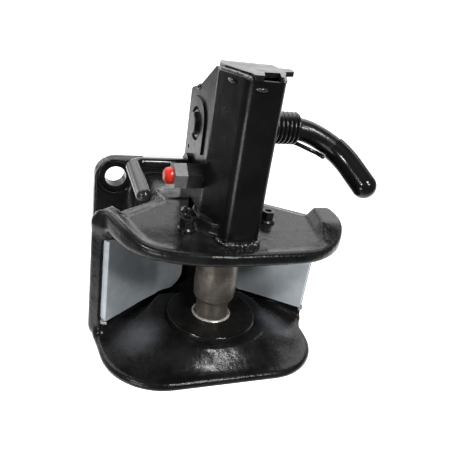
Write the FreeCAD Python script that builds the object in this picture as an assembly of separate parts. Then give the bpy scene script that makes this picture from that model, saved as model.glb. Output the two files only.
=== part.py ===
import FreeCAD, Part
import math
import os
from FreeCAD import Vector as V

os.makedirs("parts", exist_ok=True)

# ---------------------------------------------------------------- dimensions
# All millimetres.  Origin: centre of the bolt pattern on the back face of the
# flange.  +Z up (the coupling pin stands along Z), the mouth opens towards -Y.
# The pieces are drawn about a datum in the neck and moved to the origin as
# they are written: FL_Y, FL_Z is the place of the origin in the drawing.
FL_W, FL_H, FL_T, FL_R = 183.0, 118.6, 18.0, 22.0      # flange plate
FL_Y, FL_Z = 60.0, -14.0
BP_X, BP_Z, HOLE_D = 140.0, 80.0, 22.0                 # bolt pattern
SPOT_D, SPOT_DEPTH = 34.0, 1.5                         # spot faces
PIN_Y = -107.0                                         # pin axis
PIN_R, NECK_R = 19.2, 14.7                             # barrel and tail radius
PIN_BOT, PIN_TOP = -66.0, 56.0
BUSH_BORE_R = 15.0                                     # lower bush bore
DISC_R, DISC_TOP, DISC_T = 40.5, -45.5, 6.0            # lower bush disc
GUIDE_OR, GUIDE_IR = 25.0, 19.25                       # guide bush
UP_Z0, UP_Z1 = 34.5, 46.0                              # upper jaw plate
UP_FRONT, UP_HALF, UP_CR = -168.0, 106.0, 62.0
LO_FRONT, LO_HALF, LO_CR = -174.5, 96.5, 54.0         # lower jaw lip
LO_LIP, LO_BOT = -66.0, -75.0
BOSS_R, BOSS_TOP = 29.0, 57.0                          # guide boss
COL_Z, COL_T = 174.0, 4.0                              # housing height, sheet
COL_FRONT, COL_BEND, COL_REAR = -149.0, -110.0, -50.0
COL_HW_F, COL_HW = 13.8, 24.5
SH_Y, SH_Z, SH_R = -75.0, 121.5, 10.0                  # lever shaft
CRANK_R, CRANK_A0 = 54.0, -60.0                        # crank length, rest angle
ROLL_R = 5.5
REL_Y, REL_Z, REL_R = -64.0, 82.0, 4.5                 # release rod
IND_Y, IND_Z = -100.0, 85.0                            # indicator axis
JAW_BOLTS = [(-37.0, -119.0), (39.0, -106.5)]             # bolt places on the upper jaw
WEAR_T = 6.0
WEAR_Z0, WEAR_Z1 = -52.5, 26.5


# ---------------------------------------------------------------- helpers
def rwire(pts, m):
    """Closed wire through (u, v[, r]) points, corners rounded by r."""
    n = len(pts)
    ends = []
    for i in range(n):
        p0, p1, p2 = pts[i - 1], pts[i], pts[(i + 1) % n]
        r = p1[2] if len(p1) > 2 else 0.0
        a = (p0[0] - p1[0], p0[1] - p1[1])
        b = (p2[0] - p1[0], p2[1] - p1[1])
        la, lb = math.hypot(*a), math.hypot(*b)
        ua, ub = (a[0] / la, a[1] / la), (b[0] / lb, b[1] / lb)
        if r <= 0:
            ends.append((p1[:2], None, p1[:2]))
            continue
        half = math.acos(max(-1.0, min(1.0, ua[0] * ub[0] + ua[1] * ub[1]))) / 2
        d = r / math.tan(half)
        s = (p1[0] + ua[0] * d, p1[1] + ua[1] * d)
        e = (p1[0] + ub[0] * d, p1[1] + ub[1] * d)
        bx, by = ua[0] + ub[0], ua[1] + ub[1]
        lbis = math.hypot(bx, by)
        h = r / math.sin(half) - r
        ends.append((s, (p1[0] + bx / lbis * h, p1[1] + by / lbis * h), e))
    edges = []
    for i in range(n):
        s, mid, e = ends[i]
        if mid:
            edges.append(Part.Arc(m(*s), m(*mid), m(*e)).toShape())
        s2 = ends[(i + 1) % n][0]
        if math.hypot(e[0] - s2[0], e[1] - s2[1]) > 1e-6:
            edges.append(Part.makeLine(m(*e), m(*s2)))
    return Part.Wire(edges)


def prz(pts, z0, z1):
    return Part.Face(rwire(pts, lambda u, v: V(u, v, z0))).extrude(V(0, 0, z1 - z0))


def prx(pts, x0, x1):
    return Part.Face(rwire(pts, lambda u, v: V(x0, u, v))).extrude(V(x1 - x0, 0, 0))


def pry(pts, y0, y1):
    return Part.Face(rwire(pts, lambda u, v: V(u, y0, v))).extrude(V(0, y1 - y0, 0))


def cylz(r, z0, z1, x=0.0, y=PIN_Y):
    return Part.makeCylinder(r, z1 - z0, V(x, y, z0), V(0, 0, 1))


def cylx(r, x0, x1, y, z):
    return Part.makeCylinder(r, x1 - x0, V(x0, y, z), V(1, 0, 0))


def cyly(r, y0, y1, x, z):
    return Part.makeCylinder(r, y1 - y0, V(x, y0, z), V(0, 1, 0))


def revz(pts, x=0.0, y=PIN_Y):
    """Turned part about a vertical axis from (radius, z) points."""
    w = Part.makePolygon([V(x + r, y, z) for r, z in pts] + [V(x + pts[0][0], y, pts[0][1])])
    return Part.Face(w).revolve(V(x, y, 0), V(0, 0, 1), 360)


def revx(pts, y, z):
    """Turned part about an X axis from (x, radius) points."""
    w = Part.makePolygon([V(x, y, z + r) for x, r in pts] + [V(pts[0][0], y, z + pts[0][1])])
    return Part.Face(w).revolve(V(0, y, z), V(1, 0, 0), 360)


def mir(s):
    return s.mirror(V(0, 0, 0), V(1, 0, 0))


def fuse(*s):
    r = s[0].multiFuse(list(s[1:]))
    try:
        r = r.removeSplitter()
    except Exception:
        pass
    return r


def hexz(af, z0, z1, x, y):
    rc = af / math.sqrt(3)
    return prz([(x + rc * math.cos(math.radians(60 * k)), y + rc * math.sin(math.radians(60 * k))) for k in range(6)], z0, z1)


def hexx(af, x0, x1, y, z, turn=0.0):
    rc = af / math.sqrt(3)
    return prx([(y + rc * math.cos(math.radians(60 * k + turn)), z + rc * math.sin(math.radians(60 * k + turn))) for k in range(6)], x0, x1)


def sweep(edges, r, start, direction):
    c = Part.Wire([Part.makeCircle(r, start, direction)])
    return Part.Wire(edges).makePipeShell([c], True, True)


def fillet_safe(s, r, pick):
    es = [e for e in s.Edges if pick(e)]
    try:
        f = s.makeFillet(r, es)
        if f.isValid() and f.Volume > 0:
            return f
    except Exception:
        pass
    return s


def out(name, s):
    if isinstance(s, Part.Compound) and len(s.Solids) == 1:
        s = s.Solids[0]
    s = s.copy()
    s.translate(V(0, -FL_Y, -FL_Z))
    print("%-22s solids %d valid %s vol %.1f cm3" % (name, len(s.Solids), s.isValid(), s.Volume / 1000))
    s.exportStep("parts/" + name + ".step")


# ---------------------------------------------------------------- hitch body
# One casting: flange, neck, upper and lower jaw, V-shaped back wall.
flange = pry([(-FL_W / 2, FL_Z - FL_H / 2, FL_R), (FL_W / 2, FL_Z - FL_H / 2, FL_R),
              (FL_W / 2, FL_Z + FL_H / 2, FL_R), (-FL_W / 2, FL_Z + FL_H / 2, FL_R)], FL_Y - FL_T, FL_Y)
flange = fillet_safe(flange, 3.0, lambda e: abs(e.BoundBox.YMax - e.BoundBox.YMin) < 1e-6 and e.BoundBox.YMin < FL_Y - 1)

up_out = [(-UP_HALF, UP_FRONT, UP_CR), (UP_HALF, UP_FRONT, UP_CR), (UP_HALF, -95, 6),
          (86, -95, 5), (36, -56, 8), (36, -40), (-36, -40), (-36, -56, 8), (-86, -95, 5), (-UP_HALF, -95, 6)]
upper = prz(up_out, UP_Z0, UP_Z1)
upper = fillet_safe(upper, 5.0, lambda e: abs(e.BoundBox.ZMax - e.BoundBox.ZMin) < 1e-6 and e.BoundBox.YMin < -58)

# upturned side lips on the upper jaw
lip = prz([(85.5, -96.2), (UP_HALF - 0.4, -96.2), (UP_HALF - 0.4, -130), (90, -156), (76, -150)], UP_Z1 - 4, 55.5)
lip = lip.common(prz([(-UP_HALF + 0.4, UP_FRONT + 0.4, UP_CR), (UP_HALF - 0.4, UP_FRONT + 0.4, UP_CR), (UP_HALF - 0.4, -96.2), (-UP_HALF + 0.4, -96.2)], 30, 70))
ramp = prx([(-158, UP_Z1 + 0.5), (-122, 56), (-122, 80), (-160, 80)], 60, 110)
lip = lip.cut(ramp)

lo_out = [(-LO_HALF, LO_FRONT, LO_CR), (LO_HALF, LO_FRONT, LO_CR), (LO_HALF + 8, -96, 6),
          (84, -86, 8), (34, -40), (-34, -40), (-84, -86, 8), (-LO_HALF - 8, -96, 6)]
rim = prz(lo_out, LO_BOT, LO_LIP)
rim = fillet_safe(rim, 3.5, lambda e: abs(e.BoundBox.ZMax - e.BoundBox.ZMin) < 1e-6 and e.BoundBox.YMin < -45)


def funnel(dz, inset):
    a = rwire([(-LO_HALF + inset, LO_FRONT + inset, LO_CR - inset * 0.5), (LO_HALF - inset, LO_FRONT + inset, LO_CR - inset * 0.5),
               (LO_HALF - inset, -92, 4), (36, -42, 4), (-36, -42, 4), (-LO_HALF + inset, -92, 4)], lambda u, v: V(u, v, LO_LIP - 1 + dz))
    b = rwire([(-46, -150, 40), (46, -150, 40), (58, -84, 4), (30, -50, 4), (-30, -50, 4), (-58, -84, 4)], lambda u, v: V(u, v, -50.5 + dz))
    return Part.makeLoft([a, b], True, True)


lower = fuse(rim, funnel(0.0, 3.0))
lower = lower.cut(funnel(-13.5, 14.0).common(Part.makeBox(300, 70, 60, V(-150, -180, -140))))
lower = fuse(lower, cylz(38.0, -84.0, -52.0))

# V-shaped back wall behind the wear plates
wall_in = [(98.9, -97.8), (61.6, -68.4), (27.9, -47.8), (0, -44.5)]
wall_out = [(104.7, -90.4), (68.6, -60.4), (34.0, -37.5), (0, -33.0)]
vwall = prz(wall_in + [(-x, y) for x, y in reversed(wall_in[:3])]
            + [(-x, y) for x, y in wall_out[:3]] + list(reversed(wall_out)), -70.0, 40.0)

# neck from the back wall to the flange, falling towards the flange
neck_a = rwire([(-44, -62, 8), (44, -62, 8), (51, 12, 4), (41, 31, 6), (-41, 31, 6), (-51, 12, 4)], lambda u, v: V(u, FL_Y - FL_T + 2, v))
neck_b = rwire([(-46, -62, 8), (46, -62, 8), (58, 30, 4), (37, 45.5, 6), (-37, 45.5, 6), (-58, 30, 4)], lambda u, v: V(u, -52, v))
neck = Part.makeLoft([neck_a, neck_b], True, True)

boss = cylz(BOSS_R, 40.0, BOSS_TOP)
boss = fillet_safe(boss, 2.0, lambda e: abs(e.BoundBox.ZMin - BOSS_TOP) < 1e-6 and abs(e.BoundBox.ZMax - BOSS_TOP) < 1e-6)

body = fuse(flange, neck, vwall, upper, lower, boss, lip, mir(lip))
# clear the mouth in front of the back wall
clear = prz([(103.0, -103.2)] + wall_in + [(-x, y) for x, y in reversed(wall_in[:3])] + [(-103.0, -103.2), (-98.9, -160), (98.9, -160)], -50.5, UP_Z0)
body = body.cut(clear)
# bores
cuts = [cylz(GUIDE_OR, 20, 70), cylz(26.0, -90, -40), cylz(DISC_R + 0.8, DISC_TOP - DISC_T, -40)]
for sx in (-1, 1):
    for sz in (-1, 1):
        x, z = sx * BP_X / 2, FL_Z + sz * BP_Z / 2
        cuts.append(cyly(HOLE_D / 2, FL_Y - FL_T - 1, FL_Y + 1, x, z))
        cuts.append(cyly(SPOT_D / 2, FL_Y - FL_T - 12, FL_Y - FL_T + SPOT_DEPTH, x, z))
for bx, by in JAW_BOLTS:
    cuts.append(cylz(4.2, UP_Z0 - 2, 60, bx, by))
body = body.multiCut(cuts) if hasattr(body, "multiCut") else body.cut(cuts)
try:
    body = body.removeSplitter()
except Exception:
    pass
if len(body.Solids) > 1:
    body = sorted(body.Solids, key=lambda q: -q.Volume)[0]
elif len(body.Solids) == 1:
    body = body.Solids[0]
out("hitch_body", body)

# ---------------------------------------------------------------- wear plates
# zinc-plated 6 mm plates lining the back wall, one each side
face = [(95.2, -102.4), (58.0, -73.2), (43.0, -63.0), (15.0, -52.0)]


def offset_poly(p, d):
    res = []
    for i, (x, y) in enumerate(p):
        n = []
        for a, b in ((i - 1, i), (i, i + 1)):
            if a < 0 or b >= len(p):
                continue
            dx, dy = p[b][0] - p[a][0], p[b][1] - p[a][1]
            l = math.hypot(dx, dy)
            n.append((dy / l, -dx / l))
        nx, ny = sum(q[0] for q in n) / len(n), sum(q[1] for q in n) / len(n)
        l = math.hypot(nx, ny)
        nx, ny = nx / l, ny / l
        c = nx * n[0][0] + ny * n[0][1]
        res.append((x + nx * d / c, y + ny * d / c))
    return res


back = offset_poly(face, WEAR_T)
if back[1][1] < face[1][1]:
    back = offset_poly(face, -WEAR_T)
rplate = prz([face[0] + (0.8,), face[1] + (60,), face[2] + (30,), face[3] + (0.8,), back[3], back[2] + (30,), back[1] + (60,), back[0]], WEAR_Z0, WEAR_Z1)
# rounded lower rear corner
corner = Part.makeBox(40, 40, 22, V(-2, -70, WEAR_Z0 - 1)).cut(cyly(20.0, -75, -25, 35.0, WEAR_Z0 + 20.0))
corner = corner.common(Part.makeBox(37, 60, 60, V(-2, -80, WEAR_Z0 - 1)))
rplate = rplate.cut(corner)
rplate = rplate.cut(body)
if len(rplate.Solids) > 1:
    rplate = sorted(rplate.Solids, key=lambda q: -q.Volume)[0]
out("right_wear_plate", rplate)
out("left_wear_plate", mir(rplate))

# ---------------------------------------------------------------- bushes
lb = revz([(BUSH_BORE_R + 1.2, DISC_TOP), (DISC_R - 1.2, DISC_TOP), (DISC_R, DISC_TOP - 1.2), (DISC_R, DISC_TOP - DISC_T),
           (26.0, DISC_TOP - DISC_T), (26.0, -84.0), (BUSH_BORE_R, -84.0), (BUSH_BORE_R, DISC_TOP - 1.2)])
out("lower_bush", lb)
gb = revz([(GUIDE_IR, UP_Z0), (GUIDE_OR, UP_Z0), (GUIDE_OR, BOSS_TOP), (GUIDE_IR, BOSS_TOP)])
out("guide_bush", gb)

# ---------------------------------------------------------------- coupling pin
w = Part.Wire([
    Part.makeLine(V(0, PIN_Y, PIN_BOT), V(NECK_R - 3, PIN_Y, PIN_BOT)),
    Part.makeLine(V(NECK_R - 3, PIN_Y, PIN_BOT), V(NECK_R, PIN_Y, PIN_BOT + 4)),
    Part.makeLine(V(NECK_R, PIN_Y, PIN_BOT + 4), V(NECK_R, PIN_Y, -29.5)),
    Part.Arc(V(NECK_R, PIN_Y, -29.5), V(17.3, PIN_Y, -27.4), V(18.3, PIN_Y, -23.5)).toShape(),
    Part.Arc(V(18.3, PIN_Y, -23.5), V(PIN_R, PIN_Y, -10), V(18.3, PIN_Y, 4)).toShape(),
    Part.makeLine(V(18.3, PIN_Y, 4), V(18.3, PIN_Y, 13)),
    Part.makeLine(V(18.3, PIN_Y, 13), V(PIN_R, PIN_Y, 16)),
    Part.makeLine(V(PIN_R, PIN_Y, 16), V(PIN_R, PIN_Y, PIN_TOP - 1.5)),
    Part.makeLine(V(PIN_R, PIN_Y, PIN_TOP - 1.5), V(PIN_R - 1.5, PIN_Y, PIN_TOP)),
    Part.makeLine(V(PIN_R - 1.5, PIN_Y, PIN_TOP), V(0, PIN_Y, PIN_TOP)),
    Part.makeLine(V(0, PIN_Y, PIN_TOP), V(0, PIN_Y, PIN_BOT))])
pin = Part.Face(w).revolve(V(0, PIN_Y, 0), V(0, 0, 1), 360)
pin = pin.cut(Part.makeBox(60, 20, 60, V(-30, -90.3, 24.0)))
arm_slot = prx([(-84.0, 28.0), (-84.0, 72.0), (-115.0, 72.0), (-115.0, 54.5)], -4.6, 4.6)
csk = revz([(0, 40.0), (2.9, 40.0), (2.9, 58.4), (4.6, 60.4), (0, 60.4)], 0.0, -119.8)
pin = pin.cut(arm_slot).cut(csk)
out("coupling_pin", pin)

# crank roller positions
ca = math.radians(CRANK_A0)
RY, RZ = SH_Y - CRANK_R * math.cos(ca), SH_Z + CRANK_R * math.sin(ca)
RY0, RZ0 = RY, RZ
# lifting fork on the pin head: two cheeks with a slot open to the front
fork_side = [(-135.0, 57.5, 3), (-94.0, 57.5, 2), (-94.0, RZ0 + 10.6, 9), (-135.0, RZ0 + 10.6, 2),
             (-135.0, RZ0 + 6.6, 1), (-95.8, RZ0 + 6.6, 3), (-95.8, RZ0 - 10.9, 1), (-135.0, RZ0 - 10.9, 1)]
cheek = prx(fork_side, 4.6, 9.6)
fbase = cylz(17.6, PIN_TOP, 60.4)
fork = fuse(fbase, cheek, mir(cheek))
fork = fork.cut(csk).cut(arm_slot)
fork = fork.cut(Part.makeBox(9.2, 60, 40, V(-4.6, -140, 60.4)))
fork = fork.cut(Part.makeBox(60, 20, 60, V(-30, -90.3, 24.0)))
out("lifting_fork", fork)
fb = csk.cut(hexz(3.0, 58.0, 66.0, 0, -119.8))
out("fork_bolt", fb)

# ---------------------------------------------------------------- housing
# folded sheet column round the pin mechanism, open at the back
outer = [(-COL_HW, COL_REAR), (-COL_HW, COL_BEND, 14), (-COL_HW_F, COL_FRONT, 5), (COL_HW_F, COL_FRONT, 5), (COL_HW, COL_BEND, 14), (COL_HW, COL_REAR)]
t = COL_T
inner = [(-COL_HW + t, COL_REAR + 5), (-COL_HW + t, COL_BEND - 0.5, 10), (-COL_HW_F + t * 0.78, COL_FRONT + t, 2), (COL_HW_F - t * 0.78, COL_FRONT + t, 2), (COL_HW - t, COL_BEND - 0.5, 10), (COL_HW - t, COL_REAR + 5)]
house = prz(outer, 45.0, COL_Z).cut(prz(inner, 40.0, COL_Z + 5))
slope = prx([(-109.0, 173.0), (-73.4, 150.15), (-50.0, 142.5), (-40.0, 142.5), (-40.0, 190.0), (-109.0, 190.0)], -40, 40)
house = house.cut(slope)
# the side walls stand on the boss, the front wall and their rear part reach the jaw
house = house.cut(prx([(-139.0, 40.0), (-139.0, 59.5), (-110.0, 57.6), (-76.5, 57.4), (-76.5, 40.0)], -40, 40))
house = house.cut(cylz(BOSS_R + 0.15, 30.0, 57.3))
# shaft, release and indicator holes
house = house.cut(cylx(14.2, -40, 40, SH_Y, SH_Z))
house = house.cut(cylx(7.0, -40, 0, REL_Y, REL_Z))
house = house.cut(cylx(7.0, -40, 0, IND_Y, IND_Z))
house = house.cut(cylx(2.0, -40, 0, -57.0, 96.0))
ANCH_Y, ANCH_Z = SH_Y + 14.0, SH_Z - 12.5 - 1.9 - 3.05
house = house.cut(cylx(3.0, 0, 40, ANCH_Y, ANCH_Z))
house = house.cut(body)
if len(house.Solids) > 1:
    house = sorted(house.Solids, key=lambda q: -q.Volume)[0]
out("mechanism_housing", house)

# rear cover: folded sheet over the slope and down the back
rc = prx([(-108.9, 173.0), (-73.4, 150.15), (-50.0, 142.5, 1), (-50.0, 46.6), (-47.0, 46.6), (-47.0, 144.8, 4), (-72.2, 153.0), (-105.0, 174.0), (-108.9, 174.0)], -COL_HW, COL_HW)
rc = rc.cut(cyly(2.6, -60, -40, -15, 75)).cut(cyly(2.6, -60, -40, 15, 75)).cut(cyly(2.6, -60, -40, -15, 132)).cut(cyly(2.6, -60, -40, 15, 132))
rc = rc.cut(body).cut(house)
out("rear_cover", rc)

# lid with a notch at the front edge and an ear on the right
lid = prz([(-20.5, -100.0, 2), (-23.6, -109.0, 2), (-22.6, -118.0, 6), (-15.5, -134.0), (-11.0, -142.0), (-10.4, -147.6, 1.5), (11.2, -147.8, 2), (20.5, -130.0, 4), (22.5, -110.0, 2), (21.5, -100.0, 2)], COL_Z, COL_Z + 3.6)
ear = prz([(18.0, -112.0), (18.0, -127.0), (30.5, -122.5, 2), (33.0, -111.0, 2)], COL_Z, COL_Z + 3.6)
lid = fuse(lid, ear)
lid = lid.cut(prz([(-4.4, -150.0), (8.4, -150.0), (14.2, -132.5), (1.4, -134.5)], COL_Z - 1, COL_Z + 6))
lid = lid.cut(rc)
out("housing_lid", lid)

# arched bearing plates, both sides
bpl = prx([(-96.5, 101.0, 2), (-60.0, 101.0, 2), (-55.0, 107.0, 3), (-55.0, 143.0, 14), (-96.5, 143.0, 18)], COL_HW, COL_HW + 1.6)
bpl = bpl.cut(cylx(14.0, 0, 60, SH_Y, SH_Z))
out("left_bearing_plate", mir(bpl))
out("right_bearing_plate", bpl.cut(cylx(4.6, 0, 60, ANCH_Y, ANCH_Z)))
sb = revx([(18.5, SH_R + 0.06), (18.5, 14.0), (COL_HW - 0.5, 14.0), (COL_HW - 0.5, SH_R + 0.06)], SH_Y, SH_Z)
out("shaft_bushes", Part.makeCompound([sb, mir(sb)]))

# ---------------------------------------------------------------- hand lever
# shaft and bent handle from one round bar, in a plane through the shaft axis
rd = V(0, -0.8225, -0.5688)
rd.normalize()
X0, R1, A1, R2, A2, L3 = 62.0, 35.0, 30.0, 68.0, 70.0, 20.0


def lp(a, b):
    return V(a, SH_Y, SH_Z) + rd * b


def arc_pts(a0, b0, r, t0, t1):
    f = lambda t: (a0 + r * (math.sin(math.radians(t)) - math.sin(math.radians(t0))), b0 + r * (math.cos(math.radians(t0)) - math.cos(math.radians(t))))
    return f((t0 + t1) / 2), f(t1)


m1, e1 = arc_pts(X0, 0.0, R1, 0.0, A1)
GR = 50.0                                              # bar angle where the grip begins
mg, eg = arc_pts(e1[0], e1[1], R2, A1, GR)
m2, e2 = arc_pts(eg[0], eg[1], R2, GR, A2)
d3 = (math.cos(math.radians(A2)), math.sin(math.radians(A2)))
e3 = (e2[0] + L3 * d3[0], e2[1] + L3 * d3[1])
tip_dir = (lp(*e3) - lp(*e2))
tip_dir.normalize()
bar = sweep([Part.makeLine(lp(-24.2, 0), lp(X0, 0)), Part.Arc(lp(X0, 0), lp(*m1), lp(*e1)).toShape(),
             Part.Arc(lp(*e1), lp(*mg), lp(*eg)).toShape(), Part.Arc(lp(*eg), lp(*m2), lp(*e2)).toShape(),
             Part.makeLine(lp(*e2), lp(*e3))], SH_R, lp(-24.2, 0), V(1, 0, 0))
bar = bar.cut(cylx(4.0, -30, -6, SH_Y, SH_Z))
gt = Part.Arc(lp(*eg), lp(*m2), lp(*e2)).toShape()
gdir = gt.tangentAt(gt.FirstParameter)
grip = sweep([gt, Part.makeLine(lp(*e2), lp(*e3))], 11.0, lp(*eg), gdir)
grip = fuse(grip, Part.makeSphere(11.0, lp(*e3)))
grip = grip.cut(bar)
out("hand_lever", bar)
out("lever_grip", grip)
print("lever tip", lp(*e3))

# crank arm on the shaft, with its pin and rollers
ua = V(0, RY - SH_Y, RZ - SH_Z)
ua.normalize()
un = V(0, -ua.z, ua.y)


def cpt(a, b, x):
    p = V(x, SH_Y, SH_Z) + ua * a + un * b
    return p


hub = cylx(13.5, -7.5, 7.5, SH_Y, SH_Z)
armw = Part.makePolygon([cpt(0, -12, -3.6), cpt(CRANK_R, -6.5, -3.6), cpt(CRANK_R, 6.5, -3.6), cpt(0, 12, -3.6), cpt(0, -12, -3.6)])
arm = Part.Face(armw).extrude(V(7.2, 0, 0))
arm = fuse(hub, arm, cylx(6.5, -3.6, 3.6, RY, RZ))
arm = arm.cut(cylx(SH_R, -30, 30, SH_Y, SH_Z)).cut(cylx(3.5, -20, 20, RY, RZ))
out("crank_pin", cylx(3.5, -10.0, 10.0, RY, RZ))
ro = revx([(4.0, 3.5), (4.0, ROLL_R), (9.8, ROLL_R), (9.8, 3.5)], RY, RZ)
out("crank_rollers", Part.makeCompound([ro, mir(ro)]))
# key between crank hub and shaft lies inside the hub: grub screw from above
gs = Part.makeCylinder(2.5, 5.2, V(0, SH_Y, SH_Z) + ua * (-13.4), ua)
arm2 = arm.cut(gs)
out("crank_arm", arm2)
out("crank_grub_screw", gs.cut(bar))

# locking cam disc on the shaft, left of the crank
cam = cylx(14.6, -17.0, -10.0, SH_Y, SH_Z).cut(cylx(SH_R, -30, 30, SH_Y, SH_Z))
cam = cam.cut(prx([(SH_Y + 3, SH_Z - 16.0), (SH_Y + 9, SH_Z - 16.0), (SH_Y + 7, SH_Z - 11.8), (SH_Y + 3, SH_Z - 11.8)], -20, 0))
out("locking_cam", cam)

# shaft end bolt and washer on the left
ws = revx([(-25.4, 4.2), (-25.4, 11.0), (-24.2, 11.0), (-24.2, 4.2)], SH_Y, SH_Z)
out("shaft_washer", ws)
hb = fuse(hexx(17.0, -29.4, -25.4, SH_Y, SH_Z, 90.0).common(revx([(-30.4, 0), (-30.4, 6.4), (-27.8, 10.4), (-24.0, 10.4), (-24.0, 0)], SH_Y, SH_Z)),
          cylx(4.0, -25.6, -6.0, SH_Y, SH_Z))
out("shaft_bolt", hb)

# torsion spring on the right: close-wound coils, one leg hooked under the bar,
# the other resting on an anchor pin in the housing wall
SPR, SPW, SP_P = 12.5, 1.9, 3.95
SX0, TURNS = 30.4, 9.0
hx = Part.makeHelix(SP_P, SP_P * TURNS, SPR)
hx.rotate(V(0, 0, 0), V(0, 1, 0), 90)
hx = hx.mirror(V(0, 0, 0), V(0, 1, 0))
hx.translate(V(SX0, SH_Y, SH_Z))
e = hx.Edges[0]
p0, t0 = e.valueAt(e.FirstParameter), e.tangentAt(e.FirstParameter)
p1, t1 = e.valueAt(e.LastParameter), e.tangentAt(e.LastParameter)
if p0.x > p1.x:
    p0, t0, p1, t1 = p1, t1 * -1, p0, t0 * -1


def rod_piece(a, b, r):
    return Part.makeCylinder(r, (b - a).Length, a, b - a)


coil = Part.Wire([e]).makePipeShell([Part.Wire([Part.makeCircle(SPW, e.valueAt(e.FirstParameter), e.tangentAt(e.FirstParameter))])], True, True)
leg_a = p0 - t0 * 22.0                                 # rear leg over the anchor pin
leg_b = V(p1.x + 3.6, p1.y - 5.2, p1.z - 0.4)          # knee towards the handle
leg_c = V(84.0, -88.6, 104.2)                         # along the underside of the bar
leg_d = V(86.2, -96.4, 103.4)                         # hook in front of the bar
spring = coil
print("spring", p0, t0, p1, t1)
spring = fuse(coil, rod_piece(leg_a, p0, SPW), Part.makeSphere(SPW, p0), Part.makeSphere(SPW, p1),
              rod_piece(p1, leg_b, SPW), Part.makeSphere(SPW, leg_b), rod_piece(leg_b, leg_c, SPW),
              Part.makeSphere(SPW, leg_c), rod_piece(leg_c, leg_d, SPW), Part.makeSphere(SPW, leg_d))
out("torsion_spring", spring)
ap = cylx(3.0, COL_HW - 3.0, 34.0, ANCH_Y, ANCH_Z)
ap = fuse(ap, cylx(4.5, COL_HW + 0.02, COL_HW + 2.0, ANCH_Y, ANCH_Z))
out("spring_anchor", ap)

# ---------------------------------------------------------------- release lever
RX1 = -65.5
p = [V(-6.0, REL_Y, REL_Z), V(RX1, REL_Y, REL_Z), V(RX1 - 9.0, REL_Y - 9.0, REL_Z - 2.0)]
rv = V(0, -0.9966, -0.083)
rv.normalize()
c = V(RX1, REL_Y, REL_Z) + rv * 9.0
mid = c + (V(-1, 0, 0) - rv) * (9.0 / math.sqrt(2))
end = c + V(-9, 0, 0)
tip = end + rv * 49.5
rod = sweep([Part.makeLine(V(-6.0, REL_Y, REL_Z), V(RX1, REL_Y, REL_Z)), Part.Arc(V(RX1, REL_Y, REL_Z), mid, end).toShape(), Part.makeLine(end, tip)],
            REL_R, V(-6.0, REL_Y, REL_Z), V(-1, 0, 0))
out("release_lever", rod)
g0 = end - rv * 1.0
rg = Part.makeCylinder(5.9, (tip - g0).Length, g0, rv)
rg = fuse(rg, Part.makeSphere(5.9, tip)).cut(rod)
out("release_grip", rg)
print("release tip", tip)
# locking pawl on the rod inside the housing
pw = prx([(REL_Y - 8, REL_Z - 6, 4), (REL_Y + 8, REL_Z - 8, 6), (REL_Y + 7, REL_Z + 8, 4), (-65.8, 106.2, 1), (-72.2, 104.6, 1)], -17.0, -10.0)
pw = pw.cut(cylx(REL_R, -30, 0, REL_Y, REL_Z))
out("locking_pawl", pw)
rb = revx([(-COL_HW - 3.5, REL_R + 0.06), (-COL_HW - 3.5, 9.5), (-COL_HW, 9.5), (-COL_HW, 7.0), (-18.2, 7.0), (-18.2, REL_R + 0.06)], REL_Y, REL_Z)
out("release_bush", rb)
# pawl return spring on a post of the rear cover side
ls = Part.makeHelix(1.4, 4.2, 3.0)
ls.rotate(V(0, 0, 0), V(1, 0, 0), 90)
ls.translate(V(-13.5, -51.4, 86.0))
e = ls.Edges[0]
lsp = Part.Wire([e]).makePipeShell([Part.Wire([Part.makeCircle(0.6, e.valueAt(e.FirstParameter), e.tangentAt(e.FirstParameter))])], True, True)
out("pawl_spring", lsp)

# ---------------------------------------------------------------- indicator
ib = fuse(hexx(19.6, -38.0, -COL_HW, IND_Y, IND_Z, 40.0), cylx(6.95, -COL_HW, -20.6, IND_Y, IND_Z)).cut(cylx(4.6, -60, 0, IND_Y, IND_Z))
out("indicator_body", ib)
ic = hexx(20.0, -48.0, -38.0, IND_Y, IND_Z, 40.0).cut(cylx(7.0, -60, -30, IND_Y, IND_Z))
out("indicator_cap", ic)
bt = revx([(-55.0, 0), (-55.0, 4.0), (-53.2, 6.2), (-50.5, 6.9), (-45.0, 6.9), (-43.6, 6.9), (-43.6, 4.2), (-22.5, 4.2), (-22.5, 0)], IND_Y, IND_Z)
out("indicator_button", bt)
# coned disc spring between the shoulder of the button and the indicator body
isp = revx([(-43.5, 4.7), (-42.7, 4.7), (-38.1, 6.1), (-38.1, 6.6), (-38.9, 6.6)], IND_Y, IND_Z)
out("indicator_spring", isp)

# ---------------------------------------------------------------- fasteners and trim
jb = []
for x, y in JAW_BOLTS:
    s = fuse(cylz(4.2, UP_Z0 - 0.5, UP_Z1, x, y), revz([(0, UP_Z1), (7.2, UP_Z1), (7.2, UP_Z1 + 1.4), (5.9, UP_Z1 + 2.8), (0, UP_Z1 + 2.8)], x, y),
             hexz(10.4, UP_Z1 + 2.6, UP_Z1 + 10.6, x, y))
    s = s.cut(cylz(3.0, UP_Z1 + 8.2, UP_Z1 + 11.0, x, y))
    jb.append(s)
out("jaw_bolts", Part.makeCompound(jb))

sc = []
for x in (-15, 15):
    for z in (75, 132):
        s = fuse(cyly(2.6, -52.0, -47.0, x, z), cyly(5.0, -47.0, -43.6, x, z))
        sc.append(s.cut(pry([(x + 2.9 * math.cos(math.radians(60 * k)), z + 2.9 * math.sin(math.radians(60 * k))) for k in range(6)], -45.6, -43.0)))
out("cover_screws", Part.makeCompound(sc))

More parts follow.
